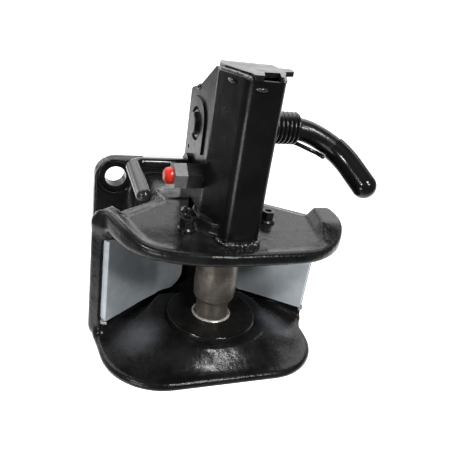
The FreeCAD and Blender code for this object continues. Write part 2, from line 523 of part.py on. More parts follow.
nb = V(-BOSS_R + 0.4, PIN_Y + 3.0, 52.5)
nd = V(-0.86, -0.1, 0.5)
nd.normalize()
nip = revz([(0, 0), (3.6, 0), (3.6, 5.0), (2.1, 5.4), (2.1, 7.4), (3.0, 8.4), (3.0, 9.4), (1.7, 11.0), (0, 11.0)], 0.0, 0.0)
nip.Placement = FreeCAD.Placement(nb, FreeCAD.Rotation(V(0, 0, 1), nd))
nip = nip.cut(body)
if len(nip.Solids) > 1:
    nip = sorted(nip.Solids, key=lambda q: -q.Volume)[0]
out("grease_nipple", nip)

npl = prz([(-41, 45.4, 1), (30, 45.4, 1), (30, 58.6, 1), (-41, 58.6, 1)], FL_Z + FL_H / 2, FL_Z + FL_H / 2 + 0.8)
out("name_plate", npl)
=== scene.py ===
import math

import bpy
import numpy as np
from mathutils import Matrix, Vector


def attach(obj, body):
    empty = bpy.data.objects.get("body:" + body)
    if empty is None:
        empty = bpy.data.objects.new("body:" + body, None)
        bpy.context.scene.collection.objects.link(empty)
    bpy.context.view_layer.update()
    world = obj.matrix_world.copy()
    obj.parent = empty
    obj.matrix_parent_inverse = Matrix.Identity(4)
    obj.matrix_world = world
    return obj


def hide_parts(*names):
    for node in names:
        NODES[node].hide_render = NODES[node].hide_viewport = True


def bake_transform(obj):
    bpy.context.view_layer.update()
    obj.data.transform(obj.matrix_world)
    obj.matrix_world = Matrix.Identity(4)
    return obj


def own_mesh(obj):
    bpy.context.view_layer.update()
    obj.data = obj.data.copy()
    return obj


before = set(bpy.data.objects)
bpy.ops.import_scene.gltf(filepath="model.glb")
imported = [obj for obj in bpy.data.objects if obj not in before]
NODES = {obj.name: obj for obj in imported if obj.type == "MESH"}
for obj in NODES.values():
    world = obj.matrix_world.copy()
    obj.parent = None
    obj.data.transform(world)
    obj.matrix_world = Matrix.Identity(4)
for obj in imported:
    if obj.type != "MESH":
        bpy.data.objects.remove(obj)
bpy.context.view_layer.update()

scene = bpy.context.scene
MM = 0.001
# the shapes below are drawn about a datum in the neck; ORG carries them to the
# origin, the centre of the bolt pattern on the back of the flange
ORG = Vector((0.0, -0.060, 0.014))


# ------------------------------------------------------------------ materials
class Mat:
    """A node material with a principled shader and a few procedural helpers."""

    def __init__(self, name):
        self.m = bpy.data.materials.new(name)
        self.m.use_nodes = True
        self.t = self.m.node_tree
        self.b = self.t.nodes["Principled BSDF"]
        self.co = self.t.nodes.new("ShaderNodeTexCoord").outputs["Object"]

    def link(self, a, b):
        self.t.links.new(a, b)

    def set(self, **k):
        for n, v in k.items():
            s = self.b.inputs[n.replace("_", " ")]
            s.default_value = v + (1.0,) if isinstance(v, tuple) and len(v) == 3 else v
        return self

    def scaled(self, v):
        n = self.t.nodes.new("ShaderNodeMapping")
        n.inputs["Scale"].default_value = v
        self.link(self.co, n.inputs["Vector"])
        return n.outputs["Vector"]

    def noise(self, scale, detail=3.0, rough=0.55, dist=0.0, co=None):
        n = self.t.nodes.new("ShaderNodeTexNoise")
        n.inputs["Scale"].default_value = scale
        n.inputs["Detail"].default_value = detail
        n.inputs["Roughness"].default_value = rough
        n.inputs["Distortion"].default_value = dist
        self.link(co if co is not None else self.co, n.inputs["Vector"])
        return n.outputs["Fac"]

    def cells(self, scale, out="Distance", co=None):
        n = self.t.nodes.new("ShaderNodeTexVoronoi")
        n.inputs["Scale"].default_value = scale
        self.link(co if co is not None else self.co, n.inputs["Vector"])
        return n.outputs[out]

    def spot(self, centre, radius):
        """1 at centre (metres), falling smoothly to 0 at radius."""
        n = self.t.nodes.new("ShaderNodeVectorMath")
        n.operation = "DISTANCE"
        self.link(self.co, n.inputs[0])
        n.inputs[1].default_value = centre
        m = self.t.nodes.new("ShaderNodeMapRange")
        m.interpolation_type = "SMOOTHSTEP"
        for key, val in (("From Min", 0.0), ("From Max", radius), ("To Min", 1.0), ("To Max", 0.0)):
            m.inputs[key].default_value = val
        self.link(n.outputs["Value"], m.inputs["Value"])
        return m.outputs[0]

    def ramp(self, fac, *stops):
        n = self.t.nodes.new("ShaderNodeValToRGB")
        e = n.color_ramp.elements
        while len(e) < len(stops):
            e.new(0.5)
        for el, (p, c) in zip(e, stops):
            el.position = p
            c = (c, c, c) if not isinstance(c, tuple) else c
            el.color = c + (1.0,)
        self.link(fac, n.inputs["Fac"])
        return n.outputs["Color"]

    def math(self, op, a, b):
        n = self.t.nodes.new("ShaderNodeMath")
        n.operation = op
        for i, v in enumerate((a, b)):
            if isinstance(v, (int, float)):
                n.inputs[i].default_value = v
            else:
                self.link(v, n.inputs[i])
        return n.outputs[0]

    def mix(self, fac, a, b, mode="MIX"):
        n = self.t.nodes.new("ShaderNodeMix")
        n.data_type = "RGBA"
        n.blend_type = mode
        for i, v in ((0, fac), (6, a), (7, b)):
            if isinstance(v, tuple):
                n.inputs[i].default_value = v + (1.0,)
            elif isinstance(v, (int, float)):
                n.inputs[i].default_value = v
            else:
                self.link(v, n.inputs[i])
        return n.outputs[2]

    def bump(self, height, strength, distance, normal=None):
        n = self.t.nodes.new("ShaderNodeBump")
        n.inputs["Strength"].default_value = strength
        n.inputs["Distance"].default_value = distance
        self.link(height, n.inputs["Height"])
        if normal is not None:
            self.link(normal, n.inputs["Normal"])
        return n.outputs["Normal"]

    def colour(self, c):
        self.link(c, self.b.inputs["Base Color"])

    def rough(self, c):
        self.link(c, self.b.inputs["Roughness"])

    def normal(self, n):
        self.link(n, self.b.inputs["Normal"])


def m_cast():
    k = Mat("cast_black")
    k.set(Specular_IOR_Level=0.27)
    black = k.ramp(k.noise(45, 4), (0.35, (0.0055, 0.0055, 0.006)), (0.7, (0.016, 0.0155, 0.015)))
    # painted sheen: blue-grey, rougher patches beside the disc paint in the reflection the lower jaw shows there
    painted_sheen = k.math("MAXIMUM", k.spot((-0.068, -0.176, -0.044), 0.030), k.spot((0.064, -0.176, -0.044), 0.026))
    painted_sheen = k.math("MULTIPLY", painted_sheen, k.ramp(k.noise(60, 4, 0.6), (0.25, 0.45), (0.7, 1.0)))
    # the painted sheen mixed over the black base colour
    k.colour(k.mix(painted_sheen, black, (0.105, 0.112, 0.125)))
    k.rough(k.mix(painted_sheen, k.ramp(k.noise(170, 3), (0.3, 0.13), (0.75, 0.32)), (0.42, 0.42, 0.42)))
    b = k.bump(k.noise(70, 2), 0.32, 0.0016)
    b = k.bump(k.noise(230, 3, 0.6), 0.36, 0.0007, b)
    b = k.bump(k.noise(800, 2, 0.5), 0.24, 0.00022, b)
    k.normal(b)
    return k.m


def m_paint(name="black_paint", lo=0.17, hi=0.30, wave=0.45, base=0.008, spec=0.5):
    k = Mat(name)
    k.set(Specular_IOR_Level=spec)
    k.colour(k.ramp(k.noise(30, 3), (0.3, (base * 0.7,) * 3), (0.75, (base * 1.7, base * 1.65, base * 1.6))))
    k.rough(k.ramp(k.noise(90, 4), (0.3, lo), (0.75, hi)))
    b = k.bump(k.noise(38, 2), wave, 0.0007)
    b = k.bump(k.noise(420, 2, 0.5), 0.25, 0.00018, b)
    k.normal(b)
    return k.m


def m_zinc(name="zinc_plate", lo=(0.53, 0.585, 0.625), hi=(0.66, 0.715, 0.755), metal=0.12, r0=0.34, r1=0.5):
    k = Mat(name)
    k.set(Metallic=metal)
    cl = k.ramp(k.noise(120, 5, 0.65), (0.3, lo), (0.72, hi))
    streak = k.noise(60, 4, 0.6, co=k.scaled((0.5, 0.5, 9.0)))
    k.colour(k.mix(k.ramp(streak, (0.45, 0.0), (0.85, 0.3)), cl, tuple(0.72 * v for v in lo)))
    k.rough(k.ramp(k.noise(260, 4), (0.3, r0), (0.75, r1)))
    b = k.bump(k.noise(500, 3), 0.25, 0.00012)
    k.normal(b)
    return k.m


def m_worn():
    k = Mat("worn_steel")
    k.set(Metallic=0.6)
    cl = k.ramp(k.noise(85, 5, 0.65, 0.4), (0.25, (0.09, 0.079, 0.066)), (0.55, (0.18, 0.16, 0.137)), (0.8, (0.31, 0.288, 0.258)))
    ring = k.noise(50, 3, 0.6, co=k.scaled((0.4, 0.4, 14.0)))
    k.colour(k.mix(k.ramp(ring, (0.5, 0.0), (0.75, 0.5)), cl, (0.11, 0.092, 0.075)))
    k.rough(k.ramp(k.noise(150, 4), (0.3, 0.3), (0.75, 0.52)))
    b = k.bump(ring, 0.2, 0.0003)
    b = k.bump(k.noise(420, 3), 0.3, 0.0002, b)
    k.normal(b)
    return k.m


def m_metal(name, lo, hi, metal=0.9, r0=0.25, r1=0.45, scale=140):
    k = Mat(name)
    k.set(Metallic=metal)
    k.colour(k.ramp(k.noise(scale, 4, 0.6), (0.3, lo), (0.75, hi)))
    k.rough(k.ramp(k.noise(scale * 1.7, 3), (0.3, r0), (0.75, r1)))
    k.normal(k.bump(k.noise(scale * 4, 3), 0.25, 0.00015))
    return k.m


def m_red():
    k = Mat("red_plastic")
    k.colour(k.ramp(k.noise(180, 3), (0.3, (0.56, 0.020, 0.011)), (0.75, (0.72, 0.038, 0.020))))
    k.rough(k.ramp(k.noise(300, 3), (0.3, 0.26), (0.75, 0.40)))
    k.normal(k.bump(k.noise(500, 2), 0.2, 0.0002))
    return k.m


MATS = {
    "cast": m_cast(),
    "paint": m_paint(base=0.005, spec=0.24),
    "lid": m_paint("lid_paint", 0.20, 0.34, 0.4, 0.011),
    "lever": m_paint("lever_paint", 0.09, 0.17, 0.25, 0.006),
    "bar": m_paint("bar_paint", 0.22, 0.32, 0.3, 0.007, 0.4),
    "grip": m_paint("black_grip", 0.13, 0.19, 0.2, 0.005, 0.4),
    "vinyl": m_paint("release_vinyl", 0.19, 0.26, 0.12, 0.018),
    "weld": m_paint("weld_paint", 0.05, 0.11, 0.9, 0.01, 1.0),
    "zinc": m_zinc(),
    "tack": m_metal("tack_steel", (0.22, 0.22, 0.22), (0.42, 0.42, 0.41), 0.6, 0.3, 0.45, 260),
    "zinc_cap": m_metal("zinc_cap", (0.26, 0.265, 0.26), (0.38, 0.385, 0.38), 0.8, 0.42, 0.55, 200),
    "worn": m_worn(),
    "dark_bush": m_metal("dark_bush_steel", (0.018, 0.017, 0.016), (0.05, 0.047, 0.044), 0.7, 0.26, 0.42, 120),
    "bronze": m_metal("bronze", (0.30, 0.17, 0.07), (0.46, 0.29, 0.13)),
    "machined": m_metal("machined_steel", (0.34, 0.34, 0.35), (0.52, 0.52, 0.53)),
    "spring": m_paint("spring_steel", 0.12, 0.22, 0.2, 0.009),
    "fastener": m_paint("black_fastener", 0.2, 0.34, 0.3, 0.009),
    "red": m_red(),
    "rubbed": m_metal("rubbed_steel", (0.45, 0.42, 0.37), (0.85, 0.82, 0.75), 0.45, 0.2, 0.36, 150),
    "plate": m_metal("bare_plate", (0.60, 0.61, 0.61), (0.76, 0.77, 0.77), 0.3, 0.38, 0.55, 220),
}

NODE_MAT = {
    "hitch_body": "cast", "left_wear_plate": "zinc", "right_wear_plate": "zinc", "lower_bush": "dark_bush",
    "guide_bush": "machined", "mechanism_housing": "paint", "rear_cover": "paint", "housing_lid": "lid",
    "left_bearing_plate": "paint", "right_bearing_plate": "paint", "shaft_bushes": "fastener", "release_bush": "paint",
    "spring_anchor": "fastener", "torsion_spring": "spring", "pawl_spring": "spring", "indicator_body": "fastener",
    "indicator_cap": "zinc_cap", "indicator_spring": "spring", "jaw_bolts": "fastener", "cover_screws": "fastener",
    "grease_nipple": "fastener", "name_plate": "plate", "hand_lever": "bar", "lever_grip": "grip",
    "crank_arm": "machined", "crank_pin": "machined", "crank_rollers": "machined", "crank_grub_screw": "fastener",
    "locking_cam": "machined", "shaft_washer": "fastener", "shaft_bolt": "fastener", "coupling_pin": "worn",
    "lifting_fork": "machined", "fork_bolt": "fastener", "release_lever": "lever", "release_grip": "vinyl",
    "locking_pawl": "machined", "indicator_button": "red",
}
for name, ob in NODES.items():
    ob.data.materials.clear()
    ob.data.materials.append(MATS[NODE_MAT[name]])


# ------------------------------------------------------------------ mesh helpers
def add_mesh(name, verts, faces, mat, body="root", smooth=True, angle=None):
    me = bpy.data.meshes.new(name)
    me.from_pydata([tuple(v) for v in np.asarray(verts, float) + np.array(ORG)], [], faces)
    me.validate()
    me.update()
    if smooth:
        me.polygons.foreach_set("use_smooth", [True] * len(me.polygons))
        if angle:
            me.set_sharp_from_angle(angle=math.radians(angle))
    ob = bpy.data.objects.new(name, me)
    scene.collection.objects.link(ob)
    me.materials.append(MATS[mat])
    if body:
        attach(ob, body)
    return ob


def tube(points, radius, sides=14, flat=(1.0, 1.0), up=None):
    """Closed tube of quads along points (mm), with per-point radius and round ends."""
    P = np.asarray(points, float)
    n = len(P)
    r = np.broadcast_to(np.asarray(radius, float), (n,)).copy()
    T = np.gradient(P, axis=0)
    T /= np.linalg.norm(T, axis=1)[:, None]
    N = np.zeros_like(P)
    ref = np.array(up if up is not None else ((0, 0, 1) if abs(T[0][2]) < 0.9 else (1, 0, 0)), float)
    for i in range(n):
        v = ref - T[i] * (ref @ T[i])
        N[i] = v / np.linalg.norm(v)
        if up is None:
            ref = N[i]
    B = np.cross(T, N)
    # round end caps as extra rings
    rows_p, rows_r, rows_i = [], [], []
    for a in (0.08, 0.35, 0.65, 0.9):
        rows_p.append(P[0] - T[0] * r[0] * math.cos(a * math.pi / 2) * flat[0]); rows_r.append(r[0] * math.sin(a * math.pi / 2)); rows_i.append(0)
    for i in range(n):
        rows_p.append(P[i]); rows_r.append(r[i]); rows_i.append(i)
    for a in (0.9, 0.65, 0.35, 0.08):
        rows_p.append(P[-1] + T[-1] * r[-1] * math.cos(a * math.pi / 2) * flat[0]); rows_r.append(r[-1] * math.sin(a * math.pi / 2)); rows_i.append(n - 1)
    ang = np.linspace(0, 2 * math.pi, sides, endpoint=False)
    V, F = [], []
    for p, rr, i in zip(rows_p, rows_r, rows_i):
        V.append(p + rr * (flat[0] * np.cos(ang)[:, None] * N[i] + flat[1] * np.sin(ang)[:, None] * B[i]))
    V = np.concatenate(V)
    m = len(rows_p)
    for i in range(m - 1):
        for j in range(sides):
            k = (j + 1) % sides
            F.append((i * sides + j, i * sides + k, (i + 1) * sides + k, (i + 1) * sides + j))
    F.append(tuple(reversed(range(sides))))
    F.append(tuple(range((m - 1) * sides, m * sides)))
    # outward winding
    c = V[:sides].mean(0)
    a, b, d = V[F[0][0]], V[F[0][1]], V[F[0][2]]
    if np.dot(np.cross(b - a, d - a), a - rows_p[0]) < 0:
        F = [tuple(reversed(f)) for f in F]
    return V, F


def smooth_path(pts, n):
    """Catmull-Rom through pts, n samples."""
    P = np.asarray(pts, float)
    Q = np.vstack([2 * P[0] - P[1], P, 2 * P[-1] - P[-2]])
    seg = len(P) - 1
    out = []
    for u in np.linspace(0, seg - 1e-9, n):
        i = int(u)
        t = u - i
        a, b, c, d = Q[i], Q[i + 1], Q[i + 2], Q[i + 3]
        out.append(0.5 * ((2 * b) + (c - a) * t + (2 * a - 5 * b + 4 * c - d) * t * t + (3 * b - a - 3 * c + d) * t ** 3))
    return np.array(out)


def weld(name, pts, r, seed, flat=(1.0, 1.0), step=0.45, ripple=0.10, up=None, body="root", mat="weld"):
    """A weld bead: a rippled, slightly wandering tube along pts (mm)."""
    rng = np.random.default_rng(seed)
    L = np.linalg.norm(np.diff(np.asarray(pts, float), axis=0), axis=1).sum()
    n = max(12, int(L / step))
    P = smooth_path(pts, n)
    s = np.linspace(0, L, n)
    ph = s * 2 * math.pi / (r * 0.85) + np.interp(s, np.linspace(0, L, 9), rng.uniform(-1.2, 1.2, 9))
    wander = np.interp(s, np.linspace(0, L, 12), rng.uniform(-0.12, 0.12, 12))
    end = np.clip(np.minimum(s, L - s) / (1.6 * r), 0, 1)
    rad = r * (1 + ripple * np.abs(np.sin(ph / 2)) + wander) * (0.55 + 0.45 * np.sqrt(end))
    P += rng.uniform(-0.06, 0.06, P.shape) * r
    V, F = tube(P, rad, 14, flat, up)
    return add_mesh(name, V * MM, F, mat, body)


# ------------------------------------------------------------------ cast body
# The casting as one smooth implicit solid: flange, neck, V wall, the two jaws
# and bosses flow into each other with cast radii.
def round_poly(pts, step=6.0):
    """Closed outline from (x, y[, r]) corners, arcs sampled every step degrees."""
    out = []
    n = len(pts)
    for i in range(n):
        p0, p1, p2 = pts[i - 1], pts[i], pts[(i + 1) % n]
        r = p1[2] if len(p1) > 2 else 0.0
        if r <= 0:
            out.append(p1[:2])
            continue
        a = np.array(p0[:2]) - p1[:2]
        b = np.array(p2[:2]) - p1[:2]
        a, b = a / np.linalg.norm(a), b / np.linalg.norm(b)
        half = math.acos(max(-1, min(1, float(a @ b)))) / 2
        d = r / math.tan(half)
        bis = (a + b) / np.linalg.norm(a + b)
        c = np.array(p1[:2]) + bis * r / math.sin(half)
        s, e = np.array(p1[:2]) + a * d, np.array(p1[:2]) + b * d
        t0 = math.atan2(*(s - c)[::-1])
        t1 = math.atan2(*(e - c)[::-1])
        dt = (t1 - t0 + math.pi) % (2 * math.pi) - math.pi
        m = max(2, int(abs(math.degrees(dt)) / step) + 1)
        for k in range(m + 1):
            t = t0 + dt * k / m
            out.append((c[0] + r * math.cos(t), c[1] + r * math.sin(t)))
    return np.array(out, float)


def poly2(P, U, V):
    """Signed distance to a closed polygon in the plane, negative inside."""
    d = np.full(U.shape, 1e18)
    s = np.ones(U.shape)
    n = len(P)
    for i in range(n):
        a, b = P[i], P[i - 1]
        ex, ey = b[0] - a[0], b[1] - a[1]
        wx, wy = U - a[0], V - a[1]
        t = np.clip((wx * ex + wy * ey) / (ex * ex + ey * ey + 1e-12), 0, 1)
        d = np.minimum(d, (wx - ex * t) ** 2 + (wy - ey * t) ** 2)
        c1, c2, c3 = V >= a[1], V < b[1], ex * wy > ey * wx
        s = np.where((c1 & c2 & c3) | (~c1 & ~c2 & ~c3), -s, s)
    return s * np.sqrt(d)


def ext(d2, dz, r):
    q0, q1 = d2 + r, dz + r
    return np.minimum(np.maximum(q0, q1), 0) + np.hypot(np.maximum(q0, 0), np.maximum(q1, 0)) - r


def smin(a, b, k):
    h = np.clip(0.5 + 0.5 * (b - a) / k, 0, 1)
    return b * (1 - h) + a * h - k * h * (1 - h)


def smax(a, b, k):
    return -smin(-a, -b, k)


def sstep(v):
    v = np.clip(v, 0, 1)
    return v * v * (3 - 2 * v)


def loft(A, B, y0, y1, X, Y, Z, k):
    """Convex section in XZ that changes linearly along Y from A to B."""
    t = np.clip((Y - y0) / (y1 - y0), 0, 1)
    d = None
    n = len(A)
    for i in range(n):
        a0, a1, b0, b1 = A[i], A[(i + 1) % n], B[i], B[(i + 1) % n]
        px, pz = a0[0] + (b0[0] - a0[0]) * t, a0[1] + (b0[1] - a0[1]) * t
        qx, qz = a1[0] + (b1[0] - a1[0]) * t, a1[1] + (b1[1] - a1[1]) * t
        l = np.hypot(qx - px, qz - pz)
        e = ((X - px) * (qz - pz) - (Z - pz) * (qx - px)) / l
        d = e if d is None else smax(d, e, k)
    lo, hi = min(y0, y1), max(y0, y1)
    return np.maximum(d, np.maximum(lo - Y, Y - hi))


def body_field(x, y, z):
    X, Y, Z = x[:, None, None], y[None, :, None], z[None, None, :]
    U, V = np.meshgrid(x, y, indexing="ij")
    ax = np.abs(U)
    c3 = lambda a: a[:, :, None]
    # flange
    q0, q1 = np.abs(X) - 91.5 + 22, np.abs(Z + 14) - 59.3 + 22
    d2 = np.hypot(np.maximum(q0, 0), np.maximum(q1, 0)) + np.minimum(np.maximum(q0, q1), 0) - 22
    flange = ext(d2, np.abs(Y - 51) - 9, 2.6)
    # neck, falling towards the flange, with a raised pad behind the upper jaw
    neck = loft([(-46, -64), (46, -64), (51, 12), (41, 31), (-41, 31), (-51, 12)],
                [(-46, -62), (46, -62), (58, 30), (37, 45.5), (-37, 45.5), (-58, 30)], 46, -52, X, Y, Z, 6)
    pad = poly2(round_poly([(-45.5, -29.6, 4), (-13.4, 5.5, 5), (13.4, 5.5, 5), (45.5, -29.6, 4), (40, -60), (-40, -60)]), U, V)
    pad = ext(c3(pad), np.maximum(Z - (40.2 + (5.5 - Y) * 0.118), 10.0 - Z), 1.2)
    # V-shaped back wall
    wi = [(98.9, -97.8), (61.6, -68.4), (27.9, -47.8), (0, -44.5)]
    wo = [(106.6, -88.2), (68.6, -60.4), (34.0, -37.5), (0, -33.0)]
    wp = [(98.9, -97.8, 0.8)] + wi[1:] + [(-a, b) for a, b in reversed(wi[1:3])] + [(-98.9, -97.8, 0.8)]
    wp += [(-106.6, -88.2, 2.5)] + [(-a, b) for a, b in wo[1:3]] + list(reversed(wo[1:])) + [(106.6, -88.2, 2.5)]
    cheek = poly2(round_poly([(-98.9, -97.8, 0.8), (-106.6, -88.2, 2.5), (-90.0, -75.0, 2), (-84.0, -86.0, 2)]), U, V)
    cheek = ext(c3(cheek), np.abs(Z + 9.5) - 58.5, 5.0)
    wall = ext(c3(poly2(round_poly(wp), U, V)), np.abs(Z + 15) - 55, 0.8)
    # web under the rear edge of the upper jaw, closing it to the wall
    web = poly2(round_poly([(30, -44), (62, -65), (99, -94), (93, -102), (78, -100), (30, -62)]), ax, V)
    web = ext(c3(web), np.abs(Z - 34.2) - 5.4, 1.0)
    # upper jaw: dished plate, rolled rim, upturned sides
    left = [tuple(p) for p in smooth_path([(-104.5, -93.0), (-100.0, -101.0), (-94.6, -118.4), (-88.6, -133.0), (-77.8, -146.8), (-62.0, -157.0), (-40.0, -164.2), (-15.0, -167.7), (20.0, -168.0)], 48)]
    up = left + [(106, -168, 62), (106, -95, 6), (86, -95, 5), (36, -56, 8), (36, -40), (-36, -40), (-36, -56, 8), (-86, -95, 5)]
    du = poly2(round_poly(up), U, V)
    df = poly2(round_poly(left + [(106, -168, 62), (106, 20), (-104.5, 20)]), U, V)
    rim = sstep(1 + df / 17.0)
    xin = 86.0 + (V + 88.0) * (12.0 / 55.0)
    lip = np.where(U < 0, sstep((ax - xin + 6.0) / 21.0), sstep((ax - xin + 3.5) / 9.0)) * sstep((V + 163) / 42.0)
    lip = lip * (1 - 0.3 * (U < 0) * sstep((V + 106) / 12.0))
    zt = 46.0 + 2.0 * rim * (1 - lip) + 9.5 * lip
    zb = 34.5 + 2.2 * rim
    zc, hf = c3((zt + zb) / 2), c3((zt - zb) / 2)
    upper = ext(c3(du), np.abs(Z - zc) - hf, 4.2)
    # lower jaw: rounded lip, sloping up to the seat of the lower bush
    lo = [(-96.5, -174.5, 54), (91.0, -174.5, 50), (94.5, -112, 12), (101.5, -96, 6), (84, -86, 8), (34, -40), (-34, -40), (-84, -86, 8), (-104.5, -96, 6)]
    dl = poly2(round_poly(lo), U, V)
    dlf = poly2(round_poly([(-96.5, -174.5, 54), (91.0, -174.5, 50), (95.5, -112, 20), (104, -60), (-106, -60)]), U, V)
    di = poly2(round_poly([(-42.2, -149.6, 41), (42.2, -149.6, 41), (50, -84, 22), (30, -50, 4), (-30, -50, 4), (-50, -84, 22)]), U, V)
    a, b = np.maximum(-dlf - 4.0, 0), np.hypot(np.maximum(di, 0), 4.0) - 4.0
    tt = a / (a + b + 1e-6)
    zt = -66.5 + 16.0 * tt ** 1.5
    zb = np.where(V < -100, np.maximum(zt - 13.5, -75.0), -75.0)
    zc, hf = c3((zt + zb) / 2), c3((zt - zb) / 2)
    lower = ext(c3(dl), (np.abs(Z - zc) - hf) * 0.94, 3.8)
    rr = np.hypot(U, V + 107.0)
    boss = ext(c3(rr) - 29.0, np.abs(Z - 48.5) - 8.5, 2.0)
    under = ext(c3(rr) - 38.0, np.abs(Z + 68) - 16.0, 2.5)
    d = smin(flange, neck, 10.0)
    d = smin(d, wall, 7.0)
    d = smin(d, smin(upper, cheek, 9.0), 11.0)
    d = smin(d, web, 4.0)
    d = smin(d, lower, 8.0)
    d = smin(d, pad, 2.0)
    d = smin(d, boss, 4.0)
    d = smin(d, under, 5.0)
    cl = [(103.0, -103.2)] + wi + [(-a, b) for a, b in reversed(wi[:3])] + [(-103.0, -103.2), (-98.9, -160), (98.9, -160)]
    clear = np.maximum(c3(poly2(np.array(cl, float), U, V)), np.abs(Z + 11.5) - 39.0)
    d = smax(d, -clear, 1.5)
    cuts = [np.maximum(c3(rr) - 25.0, 20.0 - Z), np.maximum(c3(rr) - 26.0, Z + 40.0), np.maximum(c3(rr) - 41.3, np.maximum(-51.5 - Z, Z + 35.0))]
    for sx in (-1, 1):
        for sz in (-1, 1):
            ra = np.hypot(X - sx * 70.0, Z + 14.0 - sz * 40.0)
            cuts.append(np.maximum(ra - 17.2, 31.0 - Y))
    for bx, by in ((-37.0, -119.0), (39.0, -106.5)):
        cuts.append(np.maximum(np.hypot(X - bx, Y - by) - 4.2, np.abs(Z - 45) - 14))
    for c in cuts:
        d = np.maximum(d, -c)
    return np.broadcast_to(d, (len(x), len(y), len(z))).astype(np.float32)


def surface_nets(F, x, y, z):
    h = x[1] - x[0]
    S = F < 0
    nx, ny, nz = F.shape
    cnt = np.zeros((nx - 1, ny - 1, nz - 1), np.int8)
    for i in (0, 1):
        for j in (0, 1):
            for k in (0, 1):
                cnt += S[i:nx - 1 + i, j:ny - 1 + j, k:nz - 1 + k]
    act = (cnt > 0) & (cnt < 8)
    ids = np.argwhere(act)
    idx = np.full(act.shape, -1, np.int32)
    idx[act] = np.arange(len(ids))
    I, J, K = ids.T
    acc, num = np.zeros((len(ids), 3)), np.zeros(len(ids))
    for a in range(3):
        b, c = [q for q in range(3) if q != a]
        for u in (0, 1):
            for v in (0, 1):
                o0 = [0, 0, 0]
                o0[b], o0[c] = u, v
                o1 = list(o0)
                o1[a] = 1
                f0 = F[I + o0[0], J + o0[1], K + o0[2]].astype(float)
                f1 = F[I + o1[0], J + o1[1], K + o1[2]].astype(float)
                m = (f0 < 0) != (f1 < 0)
                p = np.tile(np.array(o0, float), (len(ids), 1))
                p[m, a] = f0[m] / (f0[m] - f1[m])
                acc[m] += p[m]
                num[m] += 1
    P = ids + acc / num[:, None]
    quads = []
    for a in range(3):
        b, c = (a + 1) % 3, (a + 2) % 3
        lo = [slice(None)] * 3
        hi = [slice(None)] * 3
        lo[a], hi[a] = slice(0, -1), slice(1, None)
        s0, s1 = S[tuple(lo)], S[tuple(hi)]
        e = np.argwhere(s0 != s1)
        e = e[(e[:, b] > 0) & (e[:, c] > 0) & (e[:, b] < F.shape[b] - 1) & (e[:, c] < F.shape[c] - 1)]
        inside = s0[tuple(e.T)]
        q = []
        for db, dc in ((-1, -1), (0, -1), (0, 0), (-1, 0)):
            w = e.copy()
            w[:, b] += db
            w[:, c] += dc
            q.append(idx[tuple(w.T)])
        q = np.stack(q, 1)
        q[~inside] = q[~inside][:, ::-1]
        quads.append(q)
    return P, np.concatenate(quads)


def refine(P, F, steps=3):
    """Moves net points (grid units) onto the zero surface of F."""
    G = np.gradient(F)

    def sample(A, p):
        i = np.clip(np.floor(p).astype(int), 0, np.array(A.shape) - 2)
        t = p - i
        r = 0
        for dx in (0, 1):
            for dy in (0, 1):
                for dz in (0, 1):
                    w = (t[:, 0] if dx else 1 - t[:, 0]) * (t[:, 1] if dy else 1 - t[:, 1]) * (t[:, 2] if dz else 1 - t[:, 2])
                    r = r + w * A[i[:, 0] + dx, i[:, 1] + dy, i[:, 2] + dz]
        return r

    for _ in range(steps):
        f = sample(F, P)
        g = np.stack([sample(q, P) for q in G], 1)
        P = P - np.clip(f / ((g * g).sum(1) + 1e-9), -0.6, 0.6)[:, None] * g
    return P


H = 1.75
gx = H * np.arange(-63, 64)
gy = np.arange(-177.65, 63.5, H)
gz = np.arange(-87.0, 62.5, H)
FIELD = body_field(gx, gy, gz)
NP, NQ = surface_nets(FIELD, gx, gy, gz)
NP = refine(NP, FIELD, 2)
BV = (NP * H + np.array([gx[0], gy[0], gz[0]])) * MM
cast = add_mesh("cast_body", BV, NQ.tolist(), "cast", None)
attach(cast, "root")
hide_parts("hitch_body")


def turned(name, prof, place, mat, seg=72):
    """Open turned surface: (radius, offset) rings carried to places by place(r cos, r sin, offset)."""
    V, F = [], []
    for r, o in prof:
        for k in range(seg):
            a = 2 * math.pi * k / seg
            V.append(place(r * math.cos(a), r * math.sin(a), o))
    for i in range(len(prof) - 1):
        for k in range(seg):
            q = (k + 1) % seg
            F.append((i * seg + k, (i + 1) * seg + k, (i + 1) * seg + q, i * seg + q))
    return add_mesh(name, np.array(V) * MM, F, mat, "root", True, 40)


# machined spot face and bore of the four flange holes
for n, (hx, hz) in enumerate(((-70, 26), (70, 26), (-70, -54), (70, -54))):
    turned("flange_bore_%d" % (n + 1), [(17.9, 42.1), (17.5, 41.9), (17.0, 42.2), (17.0, 43.5), (11.5, 43.5), (11.0, 44.0), (11.0, 59.6), (11.4, 60.0), (17.8, 60.0)],
           lambda u, v, o: (hx + u, o, hz - v), "cast")

# ------------------------------------------------------------------ column
# the folded column with easier front bends: points on the two front arcs move
# from a radius of 5 mm to a larger one, along the same tangents
def bend_centre(side, r):
    k = np.array([side * 13.8, -149.0])
    a = np.array([side * 24.5, -110.0]) - k
    a = a / np.linalg.norm(a)
    b = np.array([-side, 0.0])
    half = math.acos(float(a @ b)) / 2
    bis = (a + b) / np.linalg.norm(a + b)
    return k + bis * r / math.sin(half), bis, half


